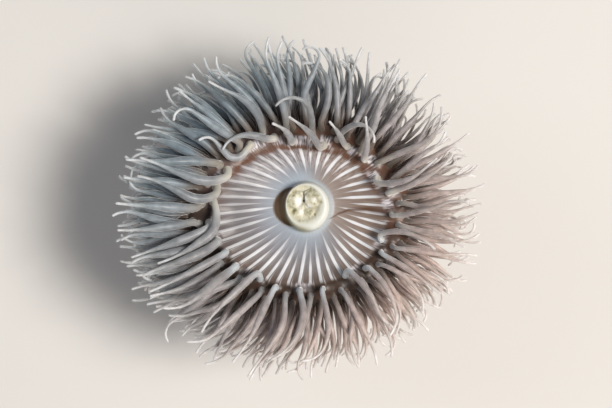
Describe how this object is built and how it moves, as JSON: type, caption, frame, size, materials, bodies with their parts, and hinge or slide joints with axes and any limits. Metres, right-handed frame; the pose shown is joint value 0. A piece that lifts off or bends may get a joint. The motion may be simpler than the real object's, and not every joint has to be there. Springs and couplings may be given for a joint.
{
  "type": "sea anemone",
  "caption": "Life-size sea anemone standing open on its foot: smooth column with a collar fold, striped mouth disc with a raised pale mouth, and a crown of slender curling tentacles.",
  "frame": {"origin": "centre of the foot's flat underside, on the surface that the animal stands on", "axes": "+Z up along the column towards the mouth; +X to the right and +Y up as the open crown is seen from above, so +X is the crown's long way across"},
  "size_m": [0.1063, 0.0987, 0.0814],
  "materials": {
    "column_skin": "smooth, wet, slimy brown skin of the column and foot",
    "upper_skin": "thin, wet, greyish brown skin of the upper column and tentacle rim",
    "disc_skin": "wet, translucent grey skin with fine white stripes out from the mouth",
    "mouth_skin": "wet, smooth cream skin of the raised mouth",
    "lip_skin": "wet, glossy white and olive lips",
    "tentacle_skin": "wet, translucent grey-white skin"
  },
  "bodies": {
    "root": {"capitulum": "upper_skin", "collar": "column_skin", "column": "column_skin", "crown_01": "upper_skin", "crown_02": "upper_skin", "crown_03": "upper_skin", "crown_04": "upper_skin", "crown_05": "upper_skin", "crown_06": "upper_skin", "crown_07": "upper_skin", "crown_08": "upper_skin", "crown_09": "upper_skin", "crown_10": "upper_skin", "crown_11": "upper_skin", "crown_12": "upper_skin", "lip_1": "lip_skin", "lip_2": "lip_skin", "lip_3": "lip_skin", "lip_4": "lip_skin", "mouth_cone": "mouth_skin", "oral_disc": "disc_skin", "pedal_disc": "column_skin", "tentacle_01": "tentacle_skin", "tentacle_02": "tentacle_skin", "tentacle_03_end": "tentacle_skin", "tentacle_03_root": "tentacle_skin", "tentacle_04": "tentacle_skin", "tentacle_05": "tentacle_skin", "tentacle_06_end": "tentacle_skin", "tentacle_06_root": "tentacle_skin", "tentacle_07_end": "tentacle_skin", "tentacle_07_root": "tentacle_skin", "tentacle_08_end": "tentacle_skin", "tentacle_08_root": "tentacle_skin", "tentacle_09_end": "tentacle_skin", "tentacle_09_root": "tentacle_skin", "tentacle_10_end": "tentacle_skin", "tentacle_10_root": "tentacle_skin", "tentacle_11_end": "tentacle_skin", "tentacle_11_root": "tentacle_skin", "tentacle_12_end": "tentacle_skin", "tentacle_12_root": "tentacle_skin", "tentacle_13_end": "tentacle_skin", "tentacle_13_root": "tentacle_skin", "tentacle_14": "tentacle_skin", "tentacle_15": "tentacle_skin", "tentacle_16": "tentacle_skin", "tentacle_17_end": "tentacle_skin", "tentacle_17_root": "tentacle_skin", "tentacle_18": "tentacle_skin", "tentacle_19": "tentacle_skin", "tentacle_20": "tentacle_skin", "tentacle_21": "tentacle_skin", "tentacle_22": "tentacle_skin", "tentacle_23": "tentacle_skin", "tentacle_24_end": "tentacle_skin", "tentacle_24_root": "tentacle_skin"}
  },
  "joints": []
}
